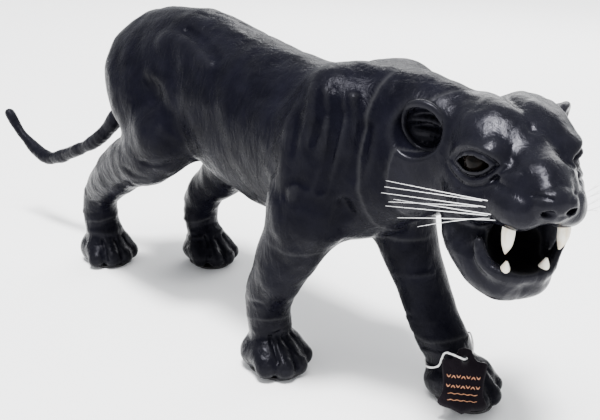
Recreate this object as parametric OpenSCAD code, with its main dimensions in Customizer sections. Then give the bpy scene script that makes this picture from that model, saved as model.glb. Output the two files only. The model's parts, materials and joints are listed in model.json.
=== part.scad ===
// Walking panther figurine: a wire armature, papier-mache cores and a glued leather skin.
// The animal faces +X, its left side is +Y, and it stands on the floor at Z = 0.

/* [Stance] */
// Distance from the hips to the shoulders
trunk_length = 212; // [176:1:256]
// Height of the hip centre above the floor
hip_height = 170; // [141:1:205]
// Height of the chest centre above the floor
shoulder_height = 158; // [131:1:190]
// Distance across between the left and right paw centres
stance_width = 66; // [55:1:80]
// How far the left front paw is ahead of the right front paw
front_stride = 112; // [93:1:135]
// How far the left rear paw is ahead of the right rear paw
rear_stride = 62; // [51:1:75]

/* [Body] */
// Half thickness of the pelvis
pelvis_r = 50; // [41:0.5:60]
// Half thickness of the waist
waist_r = 46; // [38:0.5:56]
// Half thickness of the rib cage
ribs_r = 49; // [40:0.5:59]
// Half thickness of the neck
neck_r = 44; // [36:0.5:53]
// Half thickness of the shoulder-blade hump
blade_r = 25; // [20.5:0.5:30]
// Half thickness of the haunch
haunch_r = 31; // [25.5:0.5:37.5]

/* [Legs] */
// Half thickness of the front leg at the elbow
elbow_r = 19; // [15.5:0.5:23]
// Half thickness of the front leg at the wrist
wrist_r = 15; // [12.5:0.5:18]
// Half thickness of the rear leg at the knee
knee_r = 25; // [20.5:0.5:30]
// Half thickness of the rear leg at the hock
hock_r = 14.5; // [12:0.5:17.5]
// Width of a paw without its leather
paw_width = 43; // [35.5:0.5:52]
// Length of a paw without its leather
paw_length = 47; // [39:0.5:57]
// Height of a paw without its leather
paw_height = 28; // [23:0.5:34]

/* [Head] */
// How far the eyes are ahead of the shoulders
head_ahead = 123; // [102:1:148]
// How far the eyes are above the chest centre
head_rise = 23.5; // [10:0.5:34]
// Angle by which the head turns to the animal's right
head_turn = 30; // [0:1:35]
// Half width of the skull at the cheeks
cheek_r = 37; // [30.5:0.5:44.5]
// Half width of the muzzle at the whisker pads
muzzle_r = 22; // [18:0.5:26.5]
// How far the lower jaw sits to the animal's right
jaw_side = 5; // [0:0.5:6]
// Drop from the eye line to the underside of the chin
chin_drop = 74; // [61:0.5:89]
// Radius of the glass eye
eye_r = 8.5; // [7:0.25:10.25]
// Height of the round ear cup
ear_height = 31; // [25.5:0.5:37.5]
// Length of an upper fang below the gum
upper_fang = 13; // [9:0.5:16]
// Length of a lower fang above the gum
lower_fang = 9.5; // [7:0.5:11.5]
// Length of the longest whisker
whisker_length = 66; // [40:1:80]
// Thickness of a whisker
whisker_d = 0.9; // [0.7:0.1:1.4]

/* [Tail] */
// Half thickness of the tail core at the root
tail_root_r = 5; // [4:0.25:6.5]
// Half thickness of the tail core at the tip
tail_tip_r = 3.5; // [2.75:0.25:4.5]

/* [Skin and wire] */
// Thickness of the glued leather
leather_t = 1.2; // [0.8:0.1:2]
// Thickness of the sole patches
sole_t = 1.6; // [1:0.1:2.4]
// Thickness of the spine wire
spine_wire_d = 4; // [3:0.2:5]
// Thickness of the leg wires
leg_wire_d = 3.2; // [2.4:0.2:4]
// Thickness of the tail wire
tail_wire_d = 2.6; // [2:0.2:3]
// Thickness of the binding wire
tie_wire_d = 1.2; // [0.8:0.1:1.6]

/* [Hang tag] */
// Height of the leather tag
tag_height = 41; // [34:0.5:50]
// Width of the tag at its foot
tag_width = 30; // [25:0.5:36]
// Thickness of the tag
tag_t = 1.4; // [1:0.1:2]
// Radius of the string hole
tag_hole_r = 2; // [1.6:0.1:2.6]
// Distance from the top of the tag to the string hole
tag_hole_drop = 7; // [5.5:0.5:9]
// Angle by which the tag leans back on the paw
tag_lean = 20; // [12:1:28]
// Thickness of the tag string
string_d = 1.3; // [0.9:0.1:1.6]

/* [Hidden] */

RIGHT = -1;
LEFT = 1;
leather_colour = [0.09, 0.09, 0.11];
gloss_colour = [0.04, 0.04, 0.05];
core_colour = [0.62, 0.55, 0.44];
wire_colour = [0.6, 0.6, 0.62];
ivory = [0.93, 0.9, 0.82];

// Main places. The hips stay where they are when the trunk grows, and the turned head
// puts the body's own middle a little to the right of the origin.
hip_x = -74;
shoulder_x = hip_x + trunk_length;
mid_y = -4.5;
body_sides = 16;
limb_sides = 10;
ball_sides = 10;
wire_sides = 6;
eye_sides = 16;

// ---- Routes and lofts -------------------------------------------------------------------

// A point on the smooth curve between b and c, for vectors of any length
function on_curve(a, b, c, d, t) =
    0.5 * (2 * b + (c - a) * t + (2 * a - 5 * b + 4 * c - d) * t * t + (3 * b - a - 3 * c + d) * t * t * t);
// The smooth route through the points p, with k steps between each two
function smooth(p, k) = [
    for (i = [0 : len(p) - 2], j = [0 : k - 1])
        on_curve(p[max(i - 1, 0)], p[i], p[i + 1], p[min(i + 2, len(p) - 1)], j / k),
    p[len(p) - 1]
];
// The same for a closed loop
function smooth_loop(p, k) = [
    for (i = [0 : len(p) - 1], j = [0 : k - 1])
        on_curve(p[(i + len(p) - 1) % len(p)], p[i], p[(i + 1) % len(p)], p[(i + 2) % len(p)], j / k)
];
function place(s) = [s.x, s.y, s.z];
function unit(v) = v / norm(v);
// Direction of travel at station i, on an open route or on a loop
function heading(s, i, loop) =
    let (n = len(s), a = loop ? (i + n - 1) % n : max(i - 1, 0), b = loop ? (i + 1) % n : min(i + 1, n - 1))
    unit(place(s[b]) - place(s[a]));
// One ring of points: s is [x, y, z, half width, half height] and the width lies along side
function ring(s, dir, side, grow, sides) =
    let (u = unit(side - (side * dir) * dir), v = cross(dir, u))
    [for (k = [0 : sides - 1])
        let (a = 360 * k / sides)
        place(s) + (s[3] + grow) * cos(a) * u + (s[4] + grow) * sin(a) * v];
// A round end: rings that shrink towards the tip beyond station s
cap_angles = [32, 62];
function cap(s, dir, side, grow, sides, way) = [
    for (a = cap_angles)
        let (r = min(s[3], s[4]) + grow,
             p = place(s) + way * dir * r * sin(a),
             q = [p.x, p.y, p.z, (s[3] + grow) * cos(a) - grow, (s[4] + grow) * cos(a) - grow])
        ring(q, dir, side, grow, sides)
];
function reversed(v) = [for (i = [len(v) - 1 : -1 : 0]) v[i]];
function open_rings(s, side, grow, sides) =
    let (last = len(s) - 1)
    concat(
        reversed(cap(s[0], heading(s, 0, false), side, grow, sides, -1)),
        [for (i = [0 : last]) ring(s[i], heading(s, i, false), side, grow, sides)],
        cap(s[last], heading(s, last, false), side, grow, sides, 1)
    );

// A closed solid through rings of equal count, with a loop joining its last ring to its first
module ring_solid(rings, loop = false) {
    rows = len(rings);
    n = len(rings[0]);
    sides = [
        for (i = [0 : rows - (loop ? 1 : 2)], k = [0 : n - 1])
            let (j = (i + 1) % rows, m = (k + 1) % n)
            each [[i * n + k, j * n + m, i * n + m], [i * n + k, j * n + k, j * n + m]]
    ];
    ends = loop ? [] : [[for (k = [0 : n - 1]) k], [for (k = [n - 1 : -1 : 0]) (rows - 1) * n + k]];
    polyhedron(points = [for (r = rings, p = r) p], faces = concat(sides, ends), convexity = 6);
}

// A closed solid through the stations, with round ends
module loft(stations, side = [0, 1, 0], grow = 0, sides = limb_sides) {
    ring_solid(open_rings(stations, side, grow, sides));
}

// A chain of balls, each blended into the next
module chain(stations, grow = 0) {
    for (i = [0 : len(stations) - 2])
        hull()
            for (s = [stations[i], stations[i + 1]])
                translate(place(s)) sphere(s[3] + grow, $fn = ball_sides);
}

// A round wire or cord of radius r through the points
module strand(points, r, side = [0, 1, 0], steps = 2, grow = 0) {
    loft([for (p = smooth(points, steps)) [p.x, p.y, p.z, r, r]], side, grow, wire_sides);
}

// ---- Body form --------------------------------------------------------------------------

// Stations along the trunk, from the rump to the base of the skull
trunk = [
    [hip_x - 14, mid_y, hip_height - 11, pelvis_r - 16, pelvis_r - 10],
    [hip_x + 14, mid_y, hip_height + 6, pelvis_r - 6, pelvis_r + 1],
    [hip_x + 52, mid_y, hip_height + 10, waist_r - 1, waist_r + 4],
    [(hip_x + shoulder_x) / 2, mid_y, (hip_height + shoulder_height) / 2 + 2, waist_r, waist_r + 9],
    [shoulder_x - 55, mid_y, shoulder_height - 1, ribs_r - 3, ribs_r + 5],
    [shoulder_x, mid_y, shoulder_height - 1, ribs_r - 4, ribs_r + 5],
    [shoulder_x + 36, mid_y, shoulder_height + 12, neck_r - 5, neck_r + 3],
    [shoulder_x + 54, mid_y + 2, shoulder_height + 17, neck_r - 10, neck_r - 3]
];
// Shoulder blade and haunch on one side, from the top down
function blade(way, lead) = [
    [shoulder_x + lead + 8, mid_y + way * 24, shoulder_height + 33, blade_r],
    [shoulder_x + lead, mid_y + way * 30, shoulder_height, blade_r + 3],
    [shoulder_x + lead * 1.2 - 6, mid_y + way * 33, shoulder_height - 30, blade_r]
];
function haunch(way, lead) = [
    [hip_x + lead * 0.3 + 4, mid_y + way * 22, hip_height + 12, haunch_r],
    [hip_x + lead * 0.5 + 24, mid_y + way * 27, hip_height - 10, haunch_r],
    [hip_x + lead * 0.5 + 46, mid_y + way * 31, hip_height - 28, knee_r + 1]
];

module body_form(grow = 0) {
    loft(trunk, grow = grow, sides = body_sides);
    for (way = [RIGHT, LEFT]) {
        chain(blade(way, way == LEFT ? 8 : 0), grow);
        chain(haunch(way, way == LEFT ? 10 : 0), grow);
    }
}

// ---- Legs -------------------------------------------------------------------------------

front_paw_x = shoulder_x - 40;
rear_paw_x = hip_x - 70;
paw_y = stance_width / 2;
// The rear feet stand a little to the left of the body's middle.
rear_step = 9;
function paw_place(front, way) =
    let (ahead = way == RIGHT ? 0 : front ? front_stride : rear_stride)
    [(front ? front_paw_x : rear_paw_x) + ahead, mid_y + way * paw_y + (front ? 0 : rear_step), 0];

// Each leg row is [forward of the paw, share of the stance, share of the root height, half thickness]
front_right_rows = [[35, 1.1, 0.77, elbow_r + 4], [21, 1.15, 0.61, elbow_r], [5, 1.1, 0.44, elbow_r - 2],
    [-4.5, 1.05, 0.31, wrist_r + 0.5], [-8, 1, 0.2, wrist_r]];
front_left_rows = [[-58, 0.85, 0.8, elbow_r + 4], [-53, 0.9, 0.64, elbow_r], [-42, 1, 0.46, elbow_r - 2],
    [-29, 1, 0.29, wrist_r + 0.5], [-15, 1, 0.19, wrist_r]];
rear_right_rows = [[126, 1.5, 0.86, knee_r], [103, 1.5, 0.74, knee_r - 2], [58, 1.4, 0.61, knee_r - 6],
    [27, 1.27, 0.49, hock_r + 2], [1, 1.12, 0.365, hock_r], [-7, 1.04, 0.245, hock_r], [-4, 1, 0.14, hock_r + 1]];
rear_left_rows = [[71, 0.78, 0.82, knee_r], [51, 0.87, 0.66, knee_r - 3], [26, 0.95, 0.52, knee_r - 7],
    [3, 0.98, 0.41, hock_r + 1], [-9, 1, 0.3, hock_r], [-10, 1, 0.2, hock_r], [-5, 1, 0.13, hock_r + 1]];
function leg_rows(front, way) =
    front ? (way == LEFT ? front_left_rows : front_right_rows) : (way == LEFT ? rear_left_rows : rear_right_rows);
function leg_stations(front, way) =
    let (foot = paw_place(front, way), high = front ? shoulder_height : hip_height)
    [for (q = leg_rows(front, way)) [foot.x + q[0], mid_y + q[1] * (foot.y - mid_y), q[2] * high, q[3], q[3]]];

// A paw: stations from the heel to the toes
function paw_stations(front, way) =
    let (p = paw_place(front, way), w = paw_width / 2, h = paw_height / 2, l = paw_length / 2)
    [[p.x - l + h, p.y, h - 1, w - 6, h], [p.x, p.y, h, w, h + 1], [p.x + l - h + 2, p.y, h - 2, w - 1, h - 1]];

module leg_form(front, way, grow = 0) {
    loft(leg_stations(front, way), grow = grow);
    loft(smooth(paw_stations(front, way), 2), grow = grow);
}

// Everything above the height z, and everything below it
far = 400;
module above(z) {
    intersection() {
        children();
        translate([-far, -far, z]) cube([2 * far, 2 * far, far]);
    }
}
module below(z) {
    difference() {
        children();
        translate([-far, -far, z]) cube([2 * far, 2 * far, far]);
    }
}

// Height at which the leg sleeve meets the paw cover
cuff_z = paw_height + 12;

module leg_core(front, way) {
    color(core_colour)
        above(sole_t)
        difference() {
            leg_form(front, way);
            body_form();
            leg_wire(front);
        }
}

module leg_skin(front, way) {
    above(sole_t)
    difference() {
        leg_form(front, way, leather_t);
        leg_form(front, way);
        body_form(leather_t);
    }
}

module leg_sleeve(front, way) {
    color(leather_colour) above(cuff_z) leg_skin(front, way);
}

module paw_cover(front, way) {
    color(gloss_colour) below(cuff_z) leg_skin(front, way);
}

// The flat patch under a paw, a slot shape with round ends
sole_inset = 7;
module sole(front, way) {
    p = paw_place(front, way);
    r = paw_width / 2 - sole_inset;
    reach = paw_length / 2 - r - sole_inset / 2;
    color(gloss_colour)
        translate([p.x, p.y, 0])
        linear_extrude(sole_t) {
            translate([-reach, 0]) circle(r, $fn = 48);
            translate([reach, 0]) circle(r, $fn = 48);
            translate([-reach, -r]) square([2 * reach, 2 * r]);
        }
}

// ---- Head -------------------------------------------------------------------------------

module at_head() {
    translate([shoulder_x + head_ahead, mid_y - 0.5, shoulder_height + head_rise])
        rotate([0, 0, -head_turn])
        children();
}

// In the head's own frame the eye line is the origin, and +X runs forward along the muzzle.
jaw_z = -chin_drop + 10;
skull = [
    [-44, 0, -12, cheek_r - 10, cheek_r - 5],
    [-26, 0, -11, cheek_r, cheek_r],
    [-8, 0, -10, cheek_r + 1, cheek_r - 7],
    [8, 0, -9, cheek_r - 4, 22],
    [20, 0, -14, muzzle_r, 19],
    [31, 0, -16, muzzle_r - 4, 13]
];
// Brow ridges and whisker pads on each side
function brow(way) = [[-22, way * 15, 12, 13], [5, way * 19, 2, 11]];
function pad(way) = [[10, way * (muzzle_r - 8), -20, 10], [26, way * (muzzle_r - 10), -20, 10]];
jaw = [
    [-20, 0, -34, cheek_r - 9],
    [0, 0, jaw_z + 13, muzzle_r - 2],
    [4, 0, jaw_z + 5, muzzle_r - 7],
    [10, 0, jaw_z, 10]
];
jaw_spread = [4, 6, 7, 7];
jaw_share = [0.4, 1, 1, 1];
mouth = [[9, 0, -43, muzzle_r - 9], [28, 0, -43, muzzle_r - 6], [62, 0, -42, muzzle_r]];
eye_place = [-4, cheek_r - 14.5, -1];
eye_hollow = [9, cheek_r - 3, 0];
eye_hollow_r = eye_r + 4.5;

module skull_form(grow = 0) {
    difference() {
        union() {
            loft(skull, grow = grow, sides = body_sides);
            for (way = [RIGHT, LEFT]) {
                chain(brow(way), grow);
                chain(pad(way), grow);
            }
        }
        for (way = [RIGHT, LEFT])
            translate([eye_hollow.x, way * eye_hollow.y, eye_hollow.z]) sphere(eye_hollow_r - grow, $fn = ball_sides);
    }
}

module jaw_form(grow = 0) {
    for (way = [RIGHT, LEFT])
        chain([for (i = [0 : len(jaw) - 1])
            let (j = jaw[i])
            [j[0], way * jaw_spread[i] - jaw_side * jaw_share[i], j[2], j[3]]], grow);
    hull()
        for (way = [RIGHT, LEFT])
            translate([jaw[3][0], way * jaw_spread[3] - jaw_side, jaw[3][2]]) sphere(jaw[3][3] + grow, $fn = ball_sides);
}

module mouth_form(grow = 0) {
    chain(mouth, grow);
}

module eyeball(way, grow = 0) {
    translate([eye_place.x, way * eye_place.y, eye_place.z]) sphere(eye_r + grow, $fn = eye_sides);
}

module head_core() {
    color(core_colour)
        difference() {
            at_head()
                difference() {
                    skull_form();
                    mouth_form(leather_t);
                    for (way = [RIGHT, LEFT]) eyeball(way, lid_gap + leather_t);
                }
            body_form();
            spine_wire();
        }
}

module jaw_core() {
    color(core_colour)
        difference() {
            at_head()
                difference() {
                    jaw_form();
                    mouth_form(leather_t);
                    skull_form();
                }
            body_form();
        }
}

module head_cover() {
    color(gloss_colour)
        difference() {
            at_head()
                difference() {
                    skull_form(leather_t);
                    skull_form();
                    jaw_form();
                    mouth_form(leather_t);
                    for (way = [RIGHT, LEFT]) eyeball(way, lid_gap + leather_t);
                }
            body_form(leather_t);
        }
}

module jaw_cover() {
    color(gloss_colour)
        difference() {
            at_head()
                difference() {
                    jaw_form(leather_t);
                    jaw_form();
                    skull_form(leather_t);
                    mouth_form(leather_t);
                }
            body_form(leather_t);
        }
}

module mouth_lining() {
    color(gloss_colour)
        at_head()
        intersection() {
            difference() {
                mouth_form(leather_t);
                mouth_form();
            }
            union() {
                skull_form(leather_t);
                jaw_form(leather_t);
            }
        }
}

module eye(way) {
    color("black") at_head() eyeball(way);
}

// Upper and lower lid: a leather shell round the eye with an almond opening
lid_gap = 0.3;
lid_opening_r = 9;
lid_opening_half = 4;
module eyelids(way) {
    color(gloss_colour)
        at_head()
        translate([eye_place.x, way * eye_place.y, eye_place.z])
        rotate([0, 0, way * 42])
        difference() {
            sphere(eye_r + lid_gap + leather_t, $fn = 32);
            sphere(eye_r + lid_gap, $fn = 32);
            translate([-far, -far, -far]) cube([far + 1, 2 * far, 2 * far]);
            intersection() {
                translate([0, 0, lid_opening_half - lid_opening_r])
                    rotate([0, 90, 0]) cylinder(r = lid_opening_r, h = 3 * eye_r, $fn = 48);
                translate([0, 0, lid_opening_r - lid_opening_half])
                    rotate([0, 90, 0]) cylinder(r = lid_opening_r, h = 3 * eye_r, $fn = 48);
            }
        }
}

// A round ear cup that lies back along the neck and opens forward and outward
ear_place = [-36, cheek_r + 6, 8];
ear_facing = 52;
ear_tip_back = 12;
ear_t = 2 * leather_t;
ear_steps = 7;
// Points on an arc of radius r in the half plane, from the rim height to the axis
function bowl_arc(r, rim) =
    let (low = asin(rim / r))
    [for (i = [0 : ear_steps]) let (a = low + (90 - low) * i / ear_steps) [r * cos(a), r * sin(a)]];
module ear(way) {
    r = ear_height / 2;
    rim = r / 6;
    color(gloss_colour)
        at_head()
        translate([ear_place.x, way * ear_place.y, ear_place.z])
        rotate([0, -ear_tip_back - 90, way * ear_facing])
        rotate_extrude($fn = 40)
        polygon(concat(bowl_arc(r, rim), reversed(bowl_arc(r - ear_t, rim))));
}

// The nose leather, a round pad on the tip of the muzzle
nose_r = 8;
module nose_pad() {
    color(gloss_colour)
        at_head()
        difference() {
            translate([skull[5].x + 9, 0, skull[5].z + 4]) sphere(nose_r, $fn = ball_sides);
            skull_form(leather_t);
        }
}

// A fang: round root in the gum and a pointed crown
fang_r = 3;
fang_root = 4;
upper_gum = [20, muzzle_r - 7, -31];
lower_gum = [17, muzzle_r - 10.5, jaw_z + 11];
module fang(length, way, upper) {
    gum = upper ? upper_gum : lower_gum;
    color(ivory)
        at_head()
        translate([gum.x, way * gum.y - (upper ? 0 : jaw_side), gum.z])
        rotate([0, upper ? 180 + 8 : 16, 0])
        rotate_extrude($fn = 32)
        polygon([[0, -fang_root], [fang_r, -fang_root], [fang_r, length * 0.25],
            [fang_r * 0.7, length * 0.62], [fang_r * 0.3, length * 0.92], [0, length]]);
}

// Whiskers: bristles that start in the pad and sweep outward and back
whisker_rows = [[20, 22, -17, 1, 4], [21, 22, -17.5, 0.9, -3], [16, 23.5, -19, 0.95, 9],
    [15, 23.5, -21.5, 0.88, 2], [20, 22, -24, 1, 6], [18, 22.5, -25, 0.92, -5]];
whisker_root = 2.5;
module whiskers(way) {
    color("white")
        at_head()
        for (q = whisker_rows) {
            reach = whisker_length * q[3];
            strand([[q[0] + whisker_root, way * (q[1] - whisker_root), q[2]],
                    [q[0] - reach * 0.3, way * (q[1] + reach * 0.3), q[2] + q[4] * 0.1],
                    [q[0] - reach * 0.7, way * (q[1] + reach * 0.68), q[2] + q[4]]],
                whisker_d / 2, side = [0, 0, 1]);
        }
}

// ---- Body nodes -------------------------------------------------------------------------

// The seam between the body panel and the neck panel
neck_seam_x = shoulder_x + 34;
module body_skin() {
    difference() {
        body_form(leather_t);
        body_form();
        for (front = [true, false], way = [RIGHT, LEFT]) leg_form(front, way);
        at_head() skull_form();
        at_head() jaw_form();
        tail_form();
    }
}

module body_cover() {
    color(leather_colour)
        difference() {
            body_skin();
            translate([neck_seam_x, -far, -far]) cube([far, 2 * far, 2 * far]);
        }
}

module neck_cover() {
    color(leather_colour)
        intersection() {
            body_skin();
            translate([neck_seam_x, -far, -far]) cube([far, 2 * far, 2 * far]);
        }
}

module body_core() {
    color(core_colour)
        difference() {
            body_form();
            spine_wire();
            leg_wire(true);
            leg_wire(false);
            tail_form();
            tail_wire();
            tie_pockets(front_crossing.x);
            tie_pockets(rear_crossing.x);
        }
}

// ---- Tail -------------------------------------------------------------------------------

// Offsets from the hip centre to points along the tail
tail_points = [[-48, 0, -16], [-69, -6, -42], [-95, -13, -66], [-133, -18, -84],
    [-174, -23, -98], [-208, -29, -84], [-225, -34, -62]];
function tail_station(i) =
    let (p = tail_points[i], r = tail_root_r + (tail_tip_r - tail_root_r) * i / (len(tail_points) - 1))
    [hip_x + p.x, mid_y + p.y, hip_height + p.z, r, r];
tail_stations = [for (i = [0 : len(tail_points) - 1]) tail_station(i)];

module tail_form(grow = 0) {
    loft(smooth(tail_stations, 2), grow = grow, sides = 10);
}

module tail_wrap() {
    color(core_colour)
        difference() {
            tail_form();
            tail_wire();
        }
}

module tail_cover() {
    color(leather_colour)
        difference() {
            tail_form(leather_t);
            tail_form();
            body_form(leather_t);
        }
}

// ---- Wires ------------------------------------------------------------------------------

spine_z = (hip_height + shoulder_height) / 2 + 10;
front_crossing = [shoulder_x + 2, mid_y, spine_z - (spine_wire_d + leg_wire_d) / 2];
rear_crossing = [hip_x + 22, mid_y, spine_z - (spine_wire_d + leg_wire_d) / 2];

module spine_wire() {
    color(wire_colour)
        strand([[hip_x + 12, mid_y, spine_z], [hip_x + 40, mid_y, spine_z], [shoulder_x - 30, mid_y, spine_z],
            [shoulder_x + 20, mid_y, spine_z], [shoulder_x + 60, mid_y + 2, spine_z + 4],
            [shoulder_x + head_ahead - 34, mid_y + 11, shoulder_height + head_rise - 8]], spine_wire_d / 2);
}

// One wire runs from the left paw up the leg, under the spine and down the right leg.
wire_foot_gap = 5;
function wire_side(front, way) =
    let (s = leg_stations(front, way), foot = paw_place(front, way), end = s[len(s) - 1])
    concat([for (q = s) place(q)], [[(end.x + foot.x) / 2, foot.y, sole_t + wire_foot_gap]]);
module leg_wire(front) {
    crossing = front ? front_crossing : rear_crossing;
    route = concat(reversed(wire_side(front, LEFT)), [crossing], wire_side(front, RIGHT));
    color(wire_colour) strand(route, leg_wire_d / 2, side = [1, 0, 0], steps = 2);
}

wire_gap = 0.1;
tail_wire_z = spine_z + (spine_wire_d + tail_wire_d) / 2 + wire_gap;
module tail_wire() {
    inner = [for (s = tail_stations) place(s)];
    route = concat([[hip_x + 40, mid_y, tail_wire_z], [hip_x + 6, mid_y, tail_wire_z],
        [hip_x - 20, mid_y, tail_wire_z - 6]], inner);
    color(wire_colour) strand(route, tail_wire_d / 2);
}

// Rings of binding wire on each side of a crossing, and the pockets that hold them
tie_clearance = 0.3;
tie_spread = 6;
tie_turns = 2;
tie_pitch = tie_wire_d + 0.4;
tie_ring_r = (spine_wire_d + tail_wire_d + tie_wire_d) / 2 + tie_clearance;
tie_z = spine_z + tail_wire_d / 2;
module tie_rings(x) {
    for (way = [-1, 1], k = [0 : tie_turns - 1])
        translate([x + way * (tie_spread + k * tie_pitch), mid_y, tie_z])
            rotate([0, 90, 0])
            rotate_extrude($fn = 32)
            translate([tie_ring_r, 0]) circle(tie_wire_d / 2, $fn = 16);
}
module tie_pockets(x) {
    length = (tie_turns - 1) * tie_pitch + tie_wire_d + 2 * tie_clearance;
    for (way = [-1, 1])
        translate([x + way * (tie_spread + (tie_turns - 1) * tie_pitch / 2), mid_y, tie_z])
            rotate([0, 90, 0])
            cylinder(r = tie_ring_r + tie_wire_d / 2 + tie_clearance, h = length, center = true, $fn = 24);
}

module tie(x) {
    color(wire_colour) tie_rings(x);
}

// ---- Hang tag ---------------------------------------------------------------------------

// Half outline of the tag, from the top middle down the right side to the foot
tag_foot_half = tag_width / 2;
tag_shoulder_half = tag_foot_half - 1.5;
tag_waist_half = tag_foot_half - 2.5;
function tag_half() =
    let (h = tag_height, drop = tag_hole_drop)
    smooth([[0, h], [3.4, h - 0.8], [5.2, h - 4], [8, h - drop - 0.5], [tag_shoulder_half, h - drop - 1.5],
        [tag_shoulder_half, h - drop - 6], [tag_waist_half, h / 2], [tag_waist_half, h * 0.3],
        [tag_foot_half, h * 0.17], [tag_foot_half - 2, h * 0.1], [tag_foot_half / 2.5, h * 0.06], [0, 0]], 3);

// The tag hangs from its string hole, against the side of the left front paw.
tag_turn = -52;
tag_clear = 4.5;
tag_paw = paw_place(true, LEFT);
tag_slide = -7;
tag_foot_z = 8;
tag_foot_reach = paw_width / 2 + leather_t + tag_clear;
tag_foot = [
    tag_paw.x + 7 + cos(tag_turn) * tag_foot_reach - sin(tag_turn) * tag_slide,
    tag_paw.y + sin(tag_turn) * tag_foot_reach + cos(tag_turn) * tag_slide,
    tag_foot_z
];
tag_rise = tag_height - tag_hole_drop;
tag_hole = tag_foot + tag_rise * [-cos(tag_turn) * sin(tag_lean), -sin(tag_turn) * sin(tag_lean), cos(tag_lean)];

// A frame with +X out of the tag's face, +Y along its width, +Z up its height and its origin at the hole
module at_tag() {
    translate(tag_hole) rotate([0, 0, tag_turn]) rotate([0, -tag_lean, 0]) children();
}

module hang_tag() {
    half = tag_half();
    outline = concat(half, [for (i = [len(half) - 2 : -1 : 1]) [-half[i].x, half[i].y]]);
    color(gloss_colour)
        at_tag()
        translate([-tag_t / 2, 0, -tag_rise])
        rotate([90, 0, 90])
        linear_extrude(tag_t)
        difference() {
            polygon(outline);
            translate([0, tag_rise]) circle(tag_hole_r, $fn = 32);
        }
}

// The string passes through the hole and round the ankle, low behind and high in front.
function tag_point(out, across, up) =
    let (c = cos(tag_turn), s = sin(tag_turn), lean_out = out * cos(tag_lean) - up * sin(tag_lean),
         lean_up = out * sin(tag_lean) + up * cos(tag_lean))
    tag_hole + [c * lean_out - s * across, s * lean_out + c * across, lean_up];
// A point beside the ankle, at an angle about the leaning leg and a height above the floor
string_clear = 1;
function ankle_point(angle, z) =
    let (leg = leg_stations(true, LEFT), low = leg[4], high = leg[3],
         x = low.x + (high.x - low.x) * (z - low.z) / (high.z - low.z),
         reach = wrist_r + leather_t + string_d / 2 + string_clear)
    [x + reach * 1.3 * cos(angle), low.y + reach * sin(angle), z];
module tag_string() {
    route = [
        tag_point(0, 0, 0),
        tag_point(3, -3, 1.2),
        tag_point(2.6, -8, 2.8),
        tag_point(-2, -12.5, 2),
        ankle_point(-80, 27),
        ankle_point(-125, 21),
        ankle_point(180, 21),
        ankle_point(125, 27),
        ankle_point(75, 36),
        ankle_point(40, 40),
        tag_point(-7, 5, 5),
        tag_point(-3, 2, 1)
    ];
    loop = smooth_loop(route, 3);
    color("white")
        ring_solid([for (i = [0 : len(loop) - 1])
            let (p = loop[i])
            ring([p.x, p.y, p.z, string_d / 2, string_d / 2], heading(loop, i, true), [0, 0, 1], 0, wire_sides)],
            loop = true);
}

// ---- Nodes ------------------------------------------------------------------------------

spine_wire();
leg_wire(true);  // front_leg_wire
leg_wire(false);  // rear_leg_wire
tail_wire();
tie(front_crossing.x);  // shoulder_tie
tie(rear_crossing.x);  // hip_tie
body_core();
head_core();
jaw_core();
tail_wrap();
leg_core(true, RIGHT);  // front_right_leg_core
leg_core(true, LEFT);  // front_left_leg_core
leg_core(false, RIGHT);  // rear_right_leg_core
leg_core(false, LEFT);  // rear_left_leg_core
body_cover();
neck_cover();
head_cover();
jaw_cover();
mouth_lining();
tail_cover();
leg_sleeve(true, RIGHT);  // front_right_leg_sleeve
leg_sleeve(true, LEFT);  // front_left_leg_sleeve
leg_sleeve(false, RIGHT);  // rear_right_leg_sleeve
leg_sleeve(false, LEFT);  // rear_left_leg_sleeve
paw_cover(true, RIGHT);  // front_right_paw_cover
paw_cover(true, LEFT);  // front_left_paw_cover
paw_cover(false, RIGHT);  // rear_right_paw_cover
paw_cover(false, LEFT);  // rear_left_paw_cover
sole(true, RIGHT);  // front_right_sole
sole(true, LEFT);  // front_left_sole
sole(false, RIGHT);  // rear_right_sole
sole(false, LEFT);  // rear_left_sole
ear(RIGHT);  // right_ear
ear(LEFT);  // left_ear
eye(RIGHT);  // right_eye
eye(LEFT);  // left_eye
eyelids(RIGHT);  // right_eyelids
eyelids(LEFT);  // left_eyelids
nose_pad();
fang(upper_fang, RIGHT, true);  // upper_right_fang
fang(upper_fang, LEFT, true);  // upper_left_fang
fang(lower_fang, RIGHT, false);  // lower_right_fang
fang(lower_fang, LEFT, false);  // lower_left_fang
whiskers(RIGHT);  // right_whiskers
whiskers(LEFT);  // left_whiskers
hang_tag();
tag_string();
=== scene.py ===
"""Walking panther figurine in glued black leather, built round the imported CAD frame.

The leather is sculpted as one smooth field in millimetres. Every leather panel is a part of that
field's surface, cut off at its seams and given its own thickness.
"""

import json
import math
from concurrent.futures import ThreadPoolExecutor

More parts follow.
